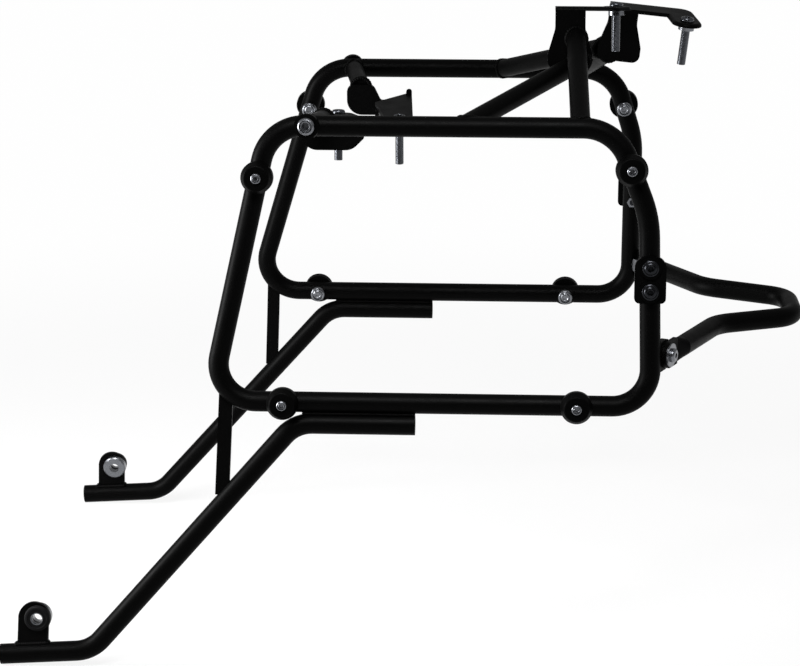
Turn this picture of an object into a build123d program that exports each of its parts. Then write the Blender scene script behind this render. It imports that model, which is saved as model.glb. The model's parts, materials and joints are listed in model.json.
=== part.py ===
from build123d import *

import os
from math import cos, hypot, radians, sin, tan
from types import SimpleNamespace

os.makedirs("parts", exist_ok=True)

# A pair of tubular side-case frames for a motorbike, joined at the rear by a bent brace.
# X runs to the rear of the bike, Y to its right, Z up. Lengths in millimetres, angles in degrees.
# The origin is on the centre plane, at mid length, level with the underside of the feet.

# Tube stock
tube_d = 20.0
tube_wall = 2.0
strut_d = 19.2
strut_wall = 2.0

# Stance of a side frame: its bottom rail is level and its top leans towards the centre plane
rail_half_gap = 220.0
lean = 6.0

# Hoop centreline, from its lower front corner along the bottom rail and up
left_hoop_length = 425.0
left_hoop_height = 267.0
left_front_rake = 12.3
left_rear_rake = 1.4
left_knee_rake = 21.2
right_hoop_length = 420.5
right_hoop_height = 260.5
right_front_rake = 16.6
right_rear_rake = 0.0
right_knee_rake = 17.0
knee_height = 182.0
lower_bend = 36.0
upper_front_bend = 42.0
upper_rear_bend = 45.0
knee_bend = 110.0

# Lower arm and foot, from the same corner
arm_gap = 1.2
arm_rear_x = 199.0
arm_bend_x = 83.0
arm_bend = 36.0
foot_bend_x = -119.0
foot_bend_drop = 252.0
foot_front_x = -209.0
foot_front_drop = 257.5

# Weld run in the gap between the bottom rail and the arm
weld_width = 8.0
weld_run = 109.0

# Gusset bar between the hoop's lower front corner and the arm
gusset_width = 13.5
gusset_thick = 5.0
left_gusset_x = 16.0
right_gusset_x = 19.6
gusset_bend_back = 1.5
gusset_bend_drop = 26.0
gusset_low_back = 4.5

# Foot tab, with the bush outboard of it and the spacer inboard
tab_x = -177.5
tab_width = 30.2
tab_thick = 4.5
foot_bore_x = -171.5
foot_bore_drop = 219.5
foot_bore_d = 10.5
bush_d = 25.4
bush_length = 12.0
bush_rim = 1.2
spacer_length = 8.0

# Case pucks on the hoop
left_lower_front_puck_x = 71.5
left_lower_rear_puck_x = 354.0
right_lower_front_puck_x = 70.0
right_lower_rear_puck_x = 348.6
left_front_puck_height = 218.0
left_rear_puck_height = 228.3
right_front_puck_height = 215.6
right_rear_puck_height = 219.3
puck_base_d = 31.0
puck_face_d = 24.0
puck_base_height = 4.0
puck_height = 12.0
puck_seat = 4.0
puck_rim = 2.0
cap_d = 16.0
cap_height = 4.5
cap_round = 1.5
cap_bore = 3.0

# Screws: nominal sizes and shared clearances
small_d = 6.0
large_d = 8.0
stub_bolt_d = 10.0
screw_clearance = 0.5
washer_thick = 2.0
button_head = 1.7
button_rise = 0.5
button_round = 0.6
socket_share = 0.6
socket_depth_share = 0.55
nut_share = 1.7
nut_height_share = 0.8

# Hanging bolts: neck in the seat, relief under it, and bevelled tip
neck_extra = 0.4
relief_depth = 0.6
relief_run = 2.0
tip_bevel = 1.0

# Latch plate on the rear rail
latch_height = 124.5
latch_width = 30.0
latch_length = 45.0
latch_thick = 4.0
latch_pitch = 22.6
latch_seat = 2.0
latch_corner = 5.0
latch_shoulder = 11.0
latch_washer_d = 21.0

# Struts on the top rail
left_upright_x = 354.0
left_diagonal_x = 241.5
right_upright_x = 360.0
right_diagonal_x = 274.0

# Rear brackets: sheet, plate and tail
sheet_thick = 4.0
fold_radius = 3.5
rear_plate_in = 138.0
rear_plate_drop = 62.0
rear_plate_top = 30.0
rear_plate_foot = 44.0
rear_plate_corner = 8.0
neck_drop = 22.0
neck_round = 20.0
flare_drop = 46.0
flare_round = 12.0
tail_corner = 6.0
tail_lobe = 15.0
rear_bolt_length = 45.0
collar_d = 16.0
collar_height = 5.0

# Where each side's rear bracket, struts and bolt lie
left_rear_x = 345.0
left_rear_rise = 109.3
left_rear_tilt = 0.0
left_tail_strip = 22.0
left_tail_reach = 46.0
left_tail_in = 166.0
left_upright_end_x = 351.0
left_upright_end_rise = 78.0
left_diagonal_end_x = 353.0
left_diagonal_end_rise = 54.0
right_rear_x = 402.0
right_rear_rise = 109.2
right_rear_tilt = 6.0
right_tail_strip = 30.0
right_tail_reach = 61.0
right_tail_in = 190.0
right_upright_end_x = 387.0
right_upright_end_rise = 57.0
right_diagonal_end_x = 382.0
right_diagonal_end_rise = 61.5

# Front stub, slanted to the rear, with its bolt
stub_d = 19.0
stub_bore_clearance = 0.5
stub_bolt_in = 28.0
stub_bore_spare = 3.0
saddle_washer_d = 24.0
saddle_seat = 4.0
saddle_rise = 2.0
left_stub_x = 96.0
left_stub_run = 8.0
right_stub_x = 113.0
right_stub_run = 13.0

# Front brackets, from the stub's end: plate, web and shelf
front_plate_in = 77.0
left_plate_front = 22.0
right_plate_front = 15.0
plate_crown = 3.0
plate_shoulder = 13.0
plate_notch_x = 21.0
plate_notch_drop = 14.0
plate_ear = 44.0
plate_heel = 28.0
plate_drop = 30.0
plate_heel_round = 16.0
plate_crown_round = 8.0
plate_small_round = 3.0
web_x = 19.0
web_in = 150.0
web_end_drop = 16.0
shelf_drop = 2.0
shelf_lobe = 14.0
shelf_round = 3.0
shelf_bolt_in = 190.0
front_bolt_length = 48.0
left_shelf_bolt_x = 6.5
left_shelf_root_x = -8.0
left_shelf_root_in = 138.0
left_shelf_ear_x = 34.0
left_shelf_ear_in = 130.0
right_shelf_bolt_x = 46.4
right_shelf_root_x = 21.0
right_shelf_root_in = 130.0
right_shelf_ear_x = 52.0
right_shelf_ear_in = 96.0
finger_width = 6.0
finger_tall = 5.0

# Rear brace and its lugs
left_brace_height = 47.5
right_brace_height = 38.0
brace_middle_height = 44.9
leg_angle = 66.5
lug_thick = 5.5
lug_offset = 3.0
lug_tall = 30.0
lug_bolt_out = 19.0
paddle_thick = 5.0
paddle_tall = 26.0
paddle_run = 20.0
paddle_blend = 16.0
leg_run = 138.5
leg_bend = 40.0
brace_rear_x = 578.0
brace_rear_half = 39.5
brace_bend = 30.0
brace_washer_d = 23.0

# Derived sizes
tube_r = tube_d / 2
strut_r = strut_d / 2
arm_drop = tube_d + arm_gap
foot_fall = foot_front_drop - foot_bend_drop
foot_slope = foot_fall / hypot(foot_bend_x - foot_front_x, foot_fall)
tab_low = foot_bend_drop + foot_fall * (foot_bend_x - tab_x) / (foot_bend_x - foot_front_x)
foot_level = (1 - (foot_slope * cos(radians(lean))) ** 2) ** 0.5
foot_low = foot_front_drop * cos(radians(lean)) + tube_r * foot_level
foot_tip_x = foot_front_x - tube_r * foot_slope
mid_x = (brace_rear_x + tube_r + foot_tip_x) / 2

# The two sides aren't quite a mirror pair, so each has its own set of sizes
SIDES = {
    "left": SimpleNamespace(
        side=-1,
        hoop_length=left_hoop_length,
        hoop_height=left_hoop_height,
        front_rake=left_front_rake,
        rear_rake=left_rear_rake,
        knee_rake=left_knee_rake,
        front_puck_height=left_front_puck_height,
        rear_puck_height=left_rear_puck_height,
        lower_puck_places=(left_lower_front_puck_x, left_lower_rear_puck_x),
        gusset_x=left_gusset_x,
        upright_x=left_upright_x,
        upright_end=(left_upright_end_x, left_hoop_height + left_upright_end_rise),
        diagonal_x=left_diagonal_x,
        diagonal_end=(left_diagonal_end_x, left_hoop_height + left_diagonal_end_rise),
        rear_x=left_rear_x,
        rear_height=left_hoop_height + left_rear_rise,
        rear_tilt=left_rear_tilt,
        tail_strip=left_tail_strip,
        tail_reach=left_tail_reach,
        tail_in=left_tail_in,
        stub_x=left_stub_x,
        stub_run=left_stub_run,
        plate_front=left_plate_front,
        shelf_bolt_x=left_shelf_bolt_x,
        shelf_root=(left_shelf_root_x, left_shelf_root_in),
        shelf_ear=(left_shelf_ear_x, left_shelf_ear_in),
        has_finger=False,
        brace_height=left_brace_height,
    ),
    "right": SimpleNamespace(
        side=1,
        hoop_length=right_hoop_length,
        hoop_height=right_hoop_height,
        front_rake=right_front_rake,
        rear_rake=right_rear_rake,
        knee_rake=right_knee_rake,
        front_puck_height=right_front_puck_height,
        rear_puck_height=right_rear_puck_height,
        lower_puck_places=(right_lower_front_puck_x, right_lower_rear_puck_x),
        gusset_x=right_gusset_x,
        upright_x=right_upright_x,
        upright_end=(right_upright_end_x, right_hoop_height + right_upright_end_rise),
        diagonal_x=right_diagonal_x,
        diagonal_end=(right_diagonal_end_x, right_hoop_height + right_diagonal_end_rise),
        rear_x=right_rear_x,
        rear_height=right_hoop_height + right_rear_rise,
        rear_tilt=right_rear_tilt,
        tail_strip=right_tail_strip,
        tail_reach=right_tail_reach,
        tail_in=right_tail_in,
        stub_x=right_stub_x,
        stub_run=right_stub_run,
        plate_front=right_plate_front,
        shelf_bolt_x=right_shelf_bolt_x,
        shelf_root=(right_shelf_root_x, right_shelf_root_in),
        shelf_ear=(right_shelf_ear_x, right_shelf_ear_in),
        has_finger=True,
        brace_height=right_brace_height,
    ),
}


def side_plane(side):
    """Plane of one hoop: x to the rear, y up the lean, origin at the lower front corner."""
    return Plane(
        origin=(-mid_x, side * rail_half_gap, foot_low),
        x_dir=(1, 0, 0),
        z_dir=(0, -cos(radians(lean)), -side * sin(radians(lean))),
    )


def save(builder, name):
    """Label a finished piece and write its file."""
    builder.part.label = name
    export_step(builder.part, f"parts/{name}.step")


def button(plane, diameter):
    """Button head with a hexagon socket, standing on a plane."""
    rise = diameter * button_rise
    with BuildPart() as made:
        with BuildSketch(plane):
            Circle(diameter * button_head / 2)
        extrude(amount=rise)
        fillet(made.faces().sort_by(Axis(plane.origin, plane.z_dir))[-1].edges(), rise * button_round)
        with BuildSketch(plane.offset(rise)):
            RegularPolygon(diameter * socket_share / 2, 6, major_radius=False)
        extrude(amount=-rise * socket_depth_share, mode=Mode.SUBTRACT)
    return made.part


def screw(plane, diameter, length):
    """Button-head socket screw: head above the plane, shank below it."""
    with BuildPart() as made:
        add(button(plane, diameter))
        with BuildSketch(plane):
            Circle(diameter / 2)
        extrude(amount=-length)
    return made.part


def hanging_bolt(plane, diameter, seat, length):
    """Screw with a snug neck in its seat, a relief under it and a bevelled tip."""
    with BuildPart() as made:
        add(button(plane, diameter))
        with BuildSketch(plane):
            Circle((diameter + neck_extra) / 2)
        extrude(amount=-seat)
        with BuildSketch(plane.offset(-seat)):
            Circle(diameter / 2 - relief_depth)
        extrude(amount=-relief_run)
        with BuildSketch(plane.offset(-seat - relief_run)):
            Circle(diameter / 2)
        extrude(amount=seat + relief_run - length)
        tip = made.faces().sort_by(Axis(plane.origin, plane.z_dir))[0]
        chamfer(tip.edges(), tip_bevel)
    return made.part


def puck(plane):
    """Turned stud on a plane that touches the tube, with a skirt below the plane for its saddle."""
    with BuildPart() as made:
        with BuildSketch(plane.offset(-puck_seat)):
            Circle(puck_base_d / 2)
        extrude(amount=puck_seat + puck_base_height)
        with BuildSketch(plane.offset(puck_base_height)):
            Circle(puck_base_d / 2)
        with BuildSketch(plane.offset(puck_height)):
            Circle(puck_face_d / 2)
        loft()
        fillet(made.faces().sort_by(Axis(plane.origin, plane.z_dir))[-1].edges(), puck_rim)
        with BuildSketch(plane.offset(puck_height)):
            Circle((small_d + screw_clearance) / 2)
        extrude(amount=-puck_height - puck_seat, mode=Mode.SUBTRACT)
    return made.part


def ring(plane, outer, bore, height, bevel=0.0):
    """Round washer or bush standing on a plane, its top outer edge bevelled if asked."""
    with BuildPart() as made:
        with BuildSketch(plane):
            Circle(outer / 2)
            Circle(bore / 2, mode=Mode.SUBTRACT)
        extrude(amount=height)
        if bevel:
            top = made.faces().sort_by(Axis(plane.origin, plane.z_dir))[-1]
            chamfer(top.edges().sort_by(SortBy.RADIUS)[-1], bevel)
    return made.part


def cap(plane, diameter):
    """Round cap nut standing on a plane: blind bore for the screw and a hexagon socket on top."""
    with BuildPart() as made:
        with BuildSketch(plane):
            Circle(cap_d / 2)
        extrude(amount=cap_height)
        fillet(made.faces().sort_by(Axis(plane.origin, plane.z_dir))[-1].edges(), cap_round)
        with BuildSketch(plane):
            Circle(diameter / 2)
        extrude(amount=cap_bore, mode=Mode.SUBTRACT)
        with BuildSketch(plane.offset(cap_height)):
            RegularPolygon(diameter * socket_share / 2, 6, major_radius=False)
        extrude(amount=(cap_bore - cap_height) * socket_depth_share, mode=Mode.SUBTRACT)
    return made.part


def nut(plane, diameter):
    """Hexagon nut standing on a plane, bored to the screw with a small clearance."""
    with BuildPart() as made:
        with BuildSketch(plane):
            RegularPolygon(diameter * nut_share / 2, 6, major_radius=False)
            Circle(diameter / 2, mode=Mode.SUBTRACT)
        extrude(amount=diameter * nut_height_share)
    return made.part


for name, own in SIDES.items():
    side = own.side
    hoop_length = own.hoop_length
    hoop_height = own.hoop_height
    top_front_x = hoop_height * tan(radians(own.front_rake))
    rear_lean = tan(radians(own.rear_rake))
    knee_x = hoop_length - knee_height * rear_lean
    top_rear_x = knee_x - (hoop_height - knee_height) * tan(radians(own.knee_rake))
    face = side_plane(side)
    outward = -side

    def at(x, height, inboard):
        """World point from hoop coordinates."""
        return face.from_local_coords((x, height, side * inboard))

    def facing_out(x, height, inboard):
        """Plane that looks outboard from a point of the side frame."""
        return Plane(origin=at(x, height, inboard), x_dir=(1, 0, 0), z_dir=face.z_dir * outward)

    def facing_in(x, height, inboard):
        """Plane that looks inboard from a point of the side frame."""
        return Plane(origin=at(x, height, inboard), x_dir=(1, 0, 0), z_dir=face.z_dir * side)

    # Centreline and outside of the hoop
    with BuildLine(face) as hoop_line:
        FilletPolyline(
            (hoop_length / 2, 0),
            (hoop_length, 0),
            (knee_x, knee_height),
            (top_rear_x, hoop_height),
            (top_front_x, hoop_height),
            (0, 0),
            (hoop_length / 2, 0),
            radius=(0, lower_bend, knee_bend, upper_rear_bend, upper_front_bend, lower_bend),
        )
    hoop_start = Plane(origin=hoop_line.line @ 0, x_dir=face.y_dir, z_dir=hoop_line.line % 0)
    with BuildPart() as hoop_outside:
        with BuildSketch(hoop_start):
            Circle(tube_r)
        sweep(path=hoop_line.line)

    # Centreline and outside of the lower arm
    with BuildLine(face) as arm_line:
        FilletPolyline(
            (arm_rear_x, -arm_drop),
            (arm_bend_x, -arm_drop),
            (foot_bend_x, -foot_bend_drop),
            (foot_front_x, -foot_front_drop),
            radius=arm_bend,
        )
    arm_start = Plane(origin=arm_line.line @ 0, z_dir=arm_line.line % 0)
    with BuildPart() as arm_outside:
        with BuildSketch(arm_start):
            Circle(tube_r)
        sweep(path=arm_line.line)

    # Places of the pucks on the hoop
    puck_places = (
        (own.front_puck_height * tan(radians(own.front_rake)), own.front_puck_height),
        (
            knee_x - (own.rear_puck_height - knee_height) * tan(radians(own.knee_rake)),
            own.rear_puck_height,
        ),
    ) + tuple((x, 0) for x in own.lower_puck_places)
    latch_x = hoop_length - latch_height * rear_lean
    latch_places = tuple((latch_x, latch_height + step * latch_pitch / 2) for step in (-1, 1))

    # Axis of the front stub: from the top rail's centre inboard and to the rear
    stub_base = at(own.stub_x, hoop_height, 0)
    stub_axis = (at(own.stub_x + own.stub_run, hoop_height, front_plate_in) - stub_base).normalized()

    def on_stub(distance, heading):
        """Plane across the stub's axis, looking inboard for a heading of 1 and outboard for -1."""
        return Plane(
            origin=stub_base + stub_axis * distance,
            x_dir=face.y_dir,
            z_dir=stub_axis * heading,
        )

    # Hoop: hollow tube, drilled for the screws that pass through it
    with BuildPart() as hoop:
        with BuildSketch(hoop_start):
            Circle(tube_r)
            Circle(tube_r - tube_wall, mode=Mode.SUBTRACT)
        sweep(path=hoop_line.line)
        for x, height in puck_places + latch_places:
            with BuildSketch(facing_out(x, height, tube_d)):
                Circle((small_d + screw_clearance) / 2)
            extrude(amount=2 * tube_d, mode=Mode.SUBTRACT)
        with BuildSketch(on_stub(-tube_d, 1)):
            Circle((stub_bolt_d + screw_clearance) / 2)
        extrude(amount=2 * tube_d, mode=Mode.SUBTRACT)
    save(hoop, f"{name}_hoop")

    # Lower arm with its foot
    with BuildPart() as lower_arm:
        with BuildSketch(arm_start):
            Circle(tube_r)
            Circle(tube_r - tube_wall, mode=Mode.SUBTRACT)
        sweep(path=arm_line.line)
    save(lower_arm, f"{name}_lower_arm")

    # Weld run: it fills the gap between the two tubes
    with BuildPart() as arm_weld:
        with BuildSketch(face):
            with Locations((arm_rear_x - weld_run / 2, -arm_drop / 2)):
                Rectangle(weld_run, arm_drop)
        extrude(amount=weld_width / 2, both=True)
        add(hoop_outside.part, mode=Mode.SUBTRACT)
        add(arm_outside.part, mode=Mode.SUBTRACT)
    save(arm_weld, f"{name}_arm_weld")

    # Gusset bar
    gusset_low_x = own.gusset_x - gusset_low_back
    with BuildPart() as gusset:
        with BuildSketch(face):
            with BuildLine():
                Polyline(
                    (own.gusset_x, tube_r),
                    (own.gusset_x - gusset_bend_back, -gusset_bend_drop),
                    (gusset_low_x, -arm_drop - (arm_bend_x - gusset_low_x)),
                )
            trace(line_width=gusset_width)
        extrude(amount=gusset_thick / 2, both=True)
        add(hoop_outside.part, mode=Mode.SUBTRACT)
        add(arm_outside.part, mode=Mode.SUBTRACT)
    save(gusset, f"{name}_gusset")

    # Foot tab
    with BuildPart() as foot_tab:
        with BuildSketch(face):
            with Locations((tab_x, -foot_bore_drop)):
                Circle(tab_width / 2)
            tab_tall = tab_low - foot_bore_drop
            with Locations((tab_x, -foot_bore_drop - tab_tall / 2)):
                Rectangle(tab_width, tab_tall)
            with Locations((foot_bore_x, -foot_bore_drop)):
                Circle(foot_bore_d / 2, mode=Mode.SUBTRACT)
        extrude(amount=tab_thick / 2, both=True)
        add(arm_outside.part, mode=Mode.SUBTRACT)
    save(foot_tab, f"{name}_foot_tab")

    # Foot bush and spacer, bored through in line with the tab
    with BuildPart() as foot_bush:
        seat = facing_out(foot_bore_x, -foot_bore_drop, -tab_thick / 2)
        add(ring(seat, bush_d, foot_bore_d, bush_length, bush_rim))
    save(foot_bush, f"{name}_foot_bush")

    with BuildPart() as foot_spacer:
        seat = facing_in(foot_bore_x, -foot_bore_drop, tab_thick / 2)
        add(ring(seat, bush_d, foot_bore_d, spacer_length, bush_rim))
    save(foot_spacer, f"{name}_foot_spacer")

    # Case pucks: turned studs with a saddle that seats on the tube
    with BuildPart() as case_pucks:
        for x, height in puck_places:
            add(puck(facing_out(x, height, -tube_r)))
        add(hoop_outside.part, mode=Mode.SUBTRACT)
    save(case_pucks, f"{name}_case_pucks")

    with BuildPart() as puck_screws:
        for x, height in puck_places:
            grip = puck_height + tube_d + cap_bore
            add(screw(facing_out(x, height, -tube_r - puck_height), small_d, grip))
    save(puck_screws, f"{name}_puck_screws")

    with BuildPart() as puck_nuts:
        for x, height in puck_places:
            add(cap(facing_in(x, height, tube_r), small_d))
    save(puck_nuts, f"{name}_puck_nuts")

    # Latch plate, seated on the rear rail by a shallow groove
    with BuildPart() as latch_plate:
        with BuildSketch(facing_out(latch_x, latch_height, -tube_r + latch_seat)):
            Rectangle(latch_width, latch_length)
            fillet(vertices().sort_by(Axis.Y, reverse=side > 0)[2:], latch_shoulder)
            fillet(vertices().sort_by(Axis.Y, reverse=side > 0)[:2], latch_corner)
        extrude(amount=latch_seat + latch_thick)
        for x, height in latch_places:
            with BuildSketch(facing_out(x, height, tube_r)):
                Circle((small_d + screw_clearance) / 2)
            extrude(amount=tube_d + latch_thick, mode=Mode.SUBTRACT)
        add(hoop_outside.part, mode=Mode.SUBTRACT)
    save(latch_plate, f"{name}_latch_plate")

    latch_out = -tube_r - latch_thick
    with BuildPart() as latch_washers:
        for x, height in latch_places:
            bore = small_d + screw_clearance
            add(ring(facing_out(x, height, latch_out), latch_washer_d, bore, washer_thick))
    save(latch_washers, f"{name}_latch_washers")

    with BuildPart() as latch_screws:
        for x, height in latch_places:
            grip = washer_thick + latch_thick + tube_d + small_d
            add(screw(facing_out(x, height, latch_out - washer_thick), small_d, grip))
    save(latch_screws, f"{name}_latch_screws")

    with BuildPart() as latch_nuts:
        for x, height in latch_places:
            add(nut(facing_in(x, height, tube_r), small_d))
    save(latch_nuts, f"{name}_latch_nuts")

    # Struts: coped on the top rail, cut flush with the rear bracket's outboard face.
    # The diagonal one is coped on the upright one too, where they meet.
    neighbours = hoop_outside.part
    for strut, foot_x, end in (
        ("upright_strut", own.upright_x, own.upright_end),
        ("diagonal_strut", own.diagonal_x, own.diagonal_end),
    ):
        low = at(foot_x, hoop_height, 0)
        high = at(end[0], end[1], rear_plate_in)
        axis = high - low
        base = Plane(origin=low, z_dir=axis)
        with BuildPart() as strut_outside:
            with BuildSketch(base):
                Circle(strut_r)
            extrude(amount=axis.length + strut_d)
        with BuildPart() as strut_cut:
            with BuildSketch(base):
                Circle(strut_r)
                Circle(strut_r - strut_wall, mode=Mode.SUBTRACT)
            extrude(amount=axis.length + strut_d)
            split(bisect_by=facing_out(end[0], end[1], rear_plate_in), keep=Keep.TOP)
            add(neighbours, mode=Mode.SUBTRACT)
        with BuildPart() as strut_tube:
            add(strut_cut.solids().sort_by(SortBy.VOLUME)[-1])
        save(strut_tube, f"{name}_{strut}")
        neighbours = hoop_outside.part + strut_outside.part

    # Rear bracket: bell-shaped plate, folded flange with a rounded tail, and the bolt hole
    tilt = radians(own.rear_tilt)
    along = Vector(cos(tilt), 0, 0) - face.y_dir * sin(tilt)
    up = face.y_dir * cos(tilt) + Vector(sin(tilt), 0, 0)
    top = Plane(origin=at(own.rear_x, own.rear_height, rear_plate_in), x_dir=along, z_dir=up)
    tail_y = -side * (own.tail_in - rear_plate_in)
    strip_run = own.tail_reach - tail_corner + rear_plate_top / 2
    with BuildPart() as rear_bracket:
        with BuildSketch(Plane(origin=top.origin, x_dir=along, z_dir=face.z_dir)):
            with BuildLine():
                Polyline(
                    (-rear_plate_top / 2, 0),
                    (rear_plate_top / 2, 0),
                    (rear_plate_top / 2, -neck_drop),
                    (rear_plate_foot / 2, -flare_drop),
                    (rear_plate_foot / 2, -rear_plate_drop),
                    (-rear_plate_foot / 2, -rear_plate_drop),
                    (-rear_plate_foot / 2, -flare_drop),
                    (-rear_plate_top / 2, -neck_drop),
                    close=True,
                )
            make_face()
            fillet(vertices().group_by(Axis.Y)[2], neck_round)
            fillet(vertices().group_by(Axis.Y)[1], flare_round)
            fillet(vertices().group_by(Axis.Y)[0], rear_plate_corner)
        extrude(amount=side * sheet_thick)
        with BuildSketch(top):
            with Locations((own.tail_reach - tail_corner, -side * own.tail_strip / 2)):
                Circle(own.tail_strip / 2)
            with Locations((own.tail_reach, tail_y)):
                Circle(tail_lobe)
            make_hull()
        extrude(amount=-sheet_thick)
        with BuildSketch(top):
            with Locations((strip_run / 2 - rear_plate_top / 2, -side * own.tail_strip / 2)):
                Rectangle(strip_run, own.tail_strip)
        extrude(amount=-sheet_thick)
        fold = rear_bracket.edges().sort_by_distance(top.origin)[0]
        fillet(fold, fold_radius)
        with BuildSketch(top):
            with Locations((own.tail_reach, tail_y)):
                Circle((large_d + screw_clearance) / 2)
        extrude(amount=-sheet_thick, mode=Mode.SUBTRACT)
    save(rear_bracket, f"{name}_rear_bracket")

    tail = Plane(origin=top.from_local_coords((own.tail_reach, tail_y, 0)), x_dir=along, z_dir=up)
    with BuildPart() as rear_bolt:
        add(hanging_bolt(tail, large_d, sheet_thick + collar_height, rear_bolt_length))
    save(rear_bolt, f"{name}_rear_bolt")

    with BuildPart() as rear_collar:
        under = tail.offset(-sheet_thick - collar_height)
        add(ring(under, collar_d, large_d + screw_clearance, collar_height))
    save(rear_collar, f"{name}_rear_collar")

    # Front stub: slanted rod coped on the top rail, bored blind for its bolt
    with BuildPart() as front_stub:
        with BuildSketch(on_stub(0, 1)):
            Circle(stub_d / 2)
        extrude(amount=front_plate_in + stub_d)
        split(bisect_by=facing_out(own.stub_x, hoop_height, front_plate_in), keep=Keep.TOP)
        with BuildSketch(on_stub(0, 1)):
            Circle((stub_bolt_d + stub_bore_clearance) / 2)
        extrude(amount=stub_bolt_in + stub_bore_spare, mode=Mode.SUBTRACT)
        add(hoop_outside.part, mode=Mode.SUBTRACT)
    save(front_stub, f"{name}_front_stub")

    with BuildPart() as saddle_washer:
        seat = on_stub(saddle_seat - tube_r, -1)
        add(ring(seat, saddle_washer_d, stub_bolt_d + screw_clearance, saddle_seat + saddle_rise))
        add(hoop_outside.part, mode=Mode.SUBTRACT)
    save(saddle_washer, f"{name}_saddle_washer")

    with BuildPart() as stub_bolt:
        grip = saddle_rise + tube_r + stub_bolt_in
        add(screw(on_stub(-tube_r - saddle_rise, -1), stub_bolt_d, grip))
    save(stub_bolt, f"{name}_stub_bolt")

    # Front bracket: plate on the stub's end, web folded inboard, and shelf with a round lobe
    stub_end_x = own.stub_x + own.stub_run
    shelf_low = shelf_drop + sheet_thick
    shelf = Plane(
        origin=at(stub_end_x, hoop_height - shelf_drop, front_plate_in),
        x_dir=(1, 0, 0),
        z_dir=face.y_dir,
    )
    web_start = front_plate_in + sheet_thick
    web_plane = Plane(
        origin=at(stub_end_x + web_x, hoop_height, web_start),
        x_dir=face.z_dir * side,
        z_dir=(-side, 0, 0),
    )
    bolt_y = -side * (shelf_bolt_in - front_plate_in)
    with BuildPart() as front_bracket:
        with BuildSketch(facing_in(stub_end_x, hoop_height, front_plate_in)):
            with BuildLine():
                FilletPolyline(
                    (0, side * plate_crown),
                    (plate_shoulder, side * plate_crown),
                    (plate_notch_x, -side * plate_notch_drop),
                    (plate_ear, -side * plate_notch_drop),
                    (plate_heel, -side * plate_drop),
                    (-own.plate_front, -side * plate_drop),
                    (-own.plate_front, side * plate_crown),
                    (0, side * plate_crown),
                    radius=(
                        0,
                        plate_crown_round,
                        plate_small_round,
                        plate_small_round,
                        plate_heel_round,
                        plate_heel_round,
                        plate_crown_round,
                    ),
                )
            make_face()
        extrude(amount=sheet_thick)
        with BuildSketch(web_plane):
            with BuildLine():
                Polyline(
                    (0, -plate_notch_drop),
                    (own.shelf_root[1] - web_start, -shelf_low),
                    (web_in - web_start, -shelf_low),
                    (web_in - web_start, -web_end_drop),
                    (0, -plate_drop),
                    close=True,
                )
            make_face()
        extrude(amount=-side * sheet_thick)
        with BuildSketch(shelf):
            for x, inboard in (own.shelf_root, own.shelf_ear):
                with Locations((x, -side * (inboard - front_plate_in))):
                    Circle(shelf_round)
            with Locations((own.shelf_bolt_x, bolt_y)):
                Circle(shelf_lobe)
            make_hull()
            with Locations((own.shelf_bolt_x, bolt_y)):
                Circle((large_d + screw_clearance) / 2, mode=Mode.SUBTRACT)
        extrude(amount=-sheet_thick)
        if own.has_finger:
            ear_x, ear_in = own.shelf_ear
            with BuildSketch(facing_in(stub_end_x + ear_x, hoop_height - shelf_low, ear_in)):
                with Locations((0, side * (sheet_thick + finger_tall) / 2)):
                    SlotOverall(sheet_thick + finger_tall, finger_width, rotation=90)
            extrude(amount=sheet_thick / 2, both=True)
    save(front_bracket, f"{name}_front_bracket")

    lobe = Plane(
        origin=shelf.from_local_coords((own.shelf_bolt_x, bolt_y, 0)),
        x_dir=(1, 0, 0),
        z_dir=face.y_dir,
    )
    with BuildPart() as front_bolt:
        add(hanging_bolt(lobe, large_d, sheet_thick, front_bolt_length))
    save(front_bolt, f"{name}_front_bolt")

    # Brace lug: plate on the rear rail, square to the brace's leg
    normal = Vector(sin(radians(leg_angle)), side * cos(radians(leg_angle)), 0)
    leg_fall = (own.brace_height - brace_middle_height) / leg_run
    level = Vector(cos(radians(leg_angle)), -side * sin(radians(leg_angle)), 0)
    inward = (level - Vector(0, 0, leg_fall)).normalized()
    lug_height = own.brace_height / cos(radians(lean))
    rail_point = at(hoop_length - lug_height * rear_lean, lug_height, 0)
    lug_plane = Plane(origin=rail_point + normal * lug_offset, x_dir=inward, z_dir=normal)
    with BuildPart() as brace_lug:
        with BuildSketch(lug_plane):
            with Locations((lug_bolt_out / 2, 0)):
                Rectangle(lug_bolt_out, lug_tall)
            with Locations((lug_bolt_out, 0)):
                Circle(lug_tall / 2)
            with Locations((lug_bolt_out, 0)):
                Circle((large_d + screw_clearance) / 2, mode=Mode.SUBTRACT)
        extrude(amount=lug_thick)
        add(hoop_outside.part, mode=Mode.SUBTRACT)
    save(brace_lug, f"{name}_brace_lug")

    lug_face = Plane(
        origin=lug_plane.from_local_coords((lug_bolt_out, 0, lug_thick)),
        x_dir=inward,
        z_dir=normal,
    )
    washer_seat = lug_face.offset(paddle_thick)
    with BuildPart() as brace_washer:
        add(ring(washer_seat, brace_washer_d, large_d + screw_clearance, washer_thick))
    save(brace_washer, f"{name}_brace_washer")

    with BuildPart() as brace_bolt:
        grip = washer_thick + paddle_thick + lug_thick + large_d * nut_height_share
        add(screw(washer_seat.offset(washer_thick), large_d, grip))
    save(brace_bolt, f"{name}_brace_bolt")

    with BuildPart() as brace_nut:
        back = Plane(
            origin=lug_plane.from_local_coords((lug_bolt_out, 0, 0)),
            x_dir=inward,
            z_dir=normal * -1,
        )
        add(nut(back, large_d))
    save(brace_nut, f"{name}_brace_nut")

    if side < 0:
        left_leg = lug_face
    else:
        right_leg = lug_face

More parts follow.
